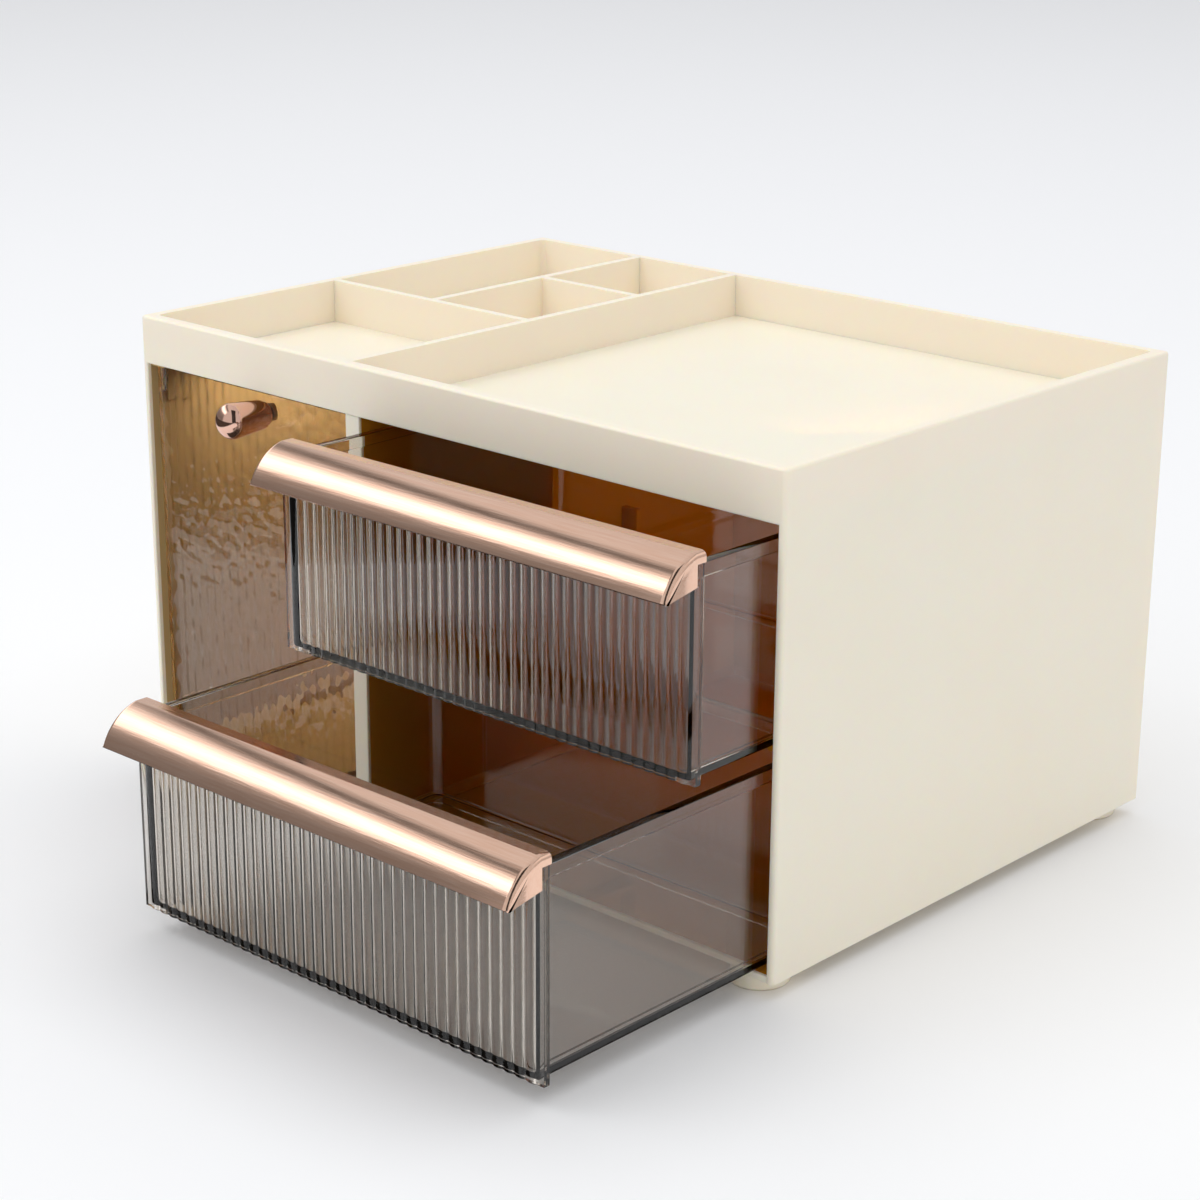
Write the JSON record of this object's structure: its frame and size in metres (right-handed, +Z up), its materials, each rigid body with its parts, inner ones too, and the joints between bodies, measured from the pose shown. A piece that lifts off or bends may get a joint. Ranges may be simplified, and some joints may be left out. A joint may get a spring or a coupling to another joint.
{
  "type": "drawer organizer",
  "caption": "Desktop organizer with an open divided tray on top, a swinging cabinet door with a knob, and sliding see-through drawers with reeded fronts and arched pulls.",
  "frame": {"origin": "on the table, under the middle of the case's footprint", "axes": "+Z up; +X to the right seen from the front; +Y to the back, so the drawers pull out along -Y"},
  "size_m": [0.28, 0.302, 0.1605],
  "materials": {
    "cream_plastic": "satin moulded cream plastic",
    "foot_pad": "matt cream pad",
    "smoky_plastic": "clear smoky plastic, polished",
    "amber_plastic": "clear amber-brown plastic, hammered front",
    "rose_gold": "rose-gold anodised, brushed along the length",
    "rose_gold_knob": "rose-gold plated, polished",
    "steel": "plain steel",
    "magnet": "dark ferrite"
  },
  "bodies": {
    "case": {"outer_shell": "cream_plastic", "top_tray": "cream_plastic", "bottom_plate": "cream_plastic", "back_panel": "cream_plastic", "centre_divider": "cream_plastic", "upper_runner_left": "cream_plastic", "upper_runner_right": "cream_plastic", "lower_runner_left": "cream_plastic", "lower_runner_right": "cream_plastic", "foot_front_left": "foot_pad", "foot_front_right": "foot_pad", "foot_back_left": "foot_pad", "foot_back_right": "foot_pad", "pivot_plate_top": "cream_plastic", "pivot_plate_bottom": "cream_plastic", "catch_magnet": "magnet"},
    "door": {"door_panel": "amber_plastic", "door_pin_top": "steel", "door_pin_bottom": "steel", "knob": "rose_gold_knob", "knob_collar": "rose_gold_knob", "knob_screw": "steel", "catch_strike": "steel"},
    "upper_drawer": {"upper_drawer_tub": "smoky_plastic", "upper_drawer_front": "smoky_plastic", "upper_handle": "rose_gold"},
    "lower_drawer": {"lower_drawer_tub": "smoky_plastic", "lower_drawer_front": "smoky_plastic", "lower_handle": "rose_gold"}
  },
  "joints": [
    {"name": "door_hinge", "type": "hinge", "parent": "case", "child": "door", "pos_m": [-0.1344, -0.093, 0.07585], "axis": [0, 0, -1], "range_deg": [0, 100]},
    {"name": "upper_drawer_slide", "type": "slide", "parent": "case", "child": "upper_drawer", "axis": [0, -1, 0], "range_m": [-0.0357, 0.0643]},
    {"name": "lower_drawer_slide", "type": "slide", "parent": "case", "child": "lower_drawer", "axis": [0, -1, 0], "range_m": [-0.0955, 0.0045]}
  ]
}
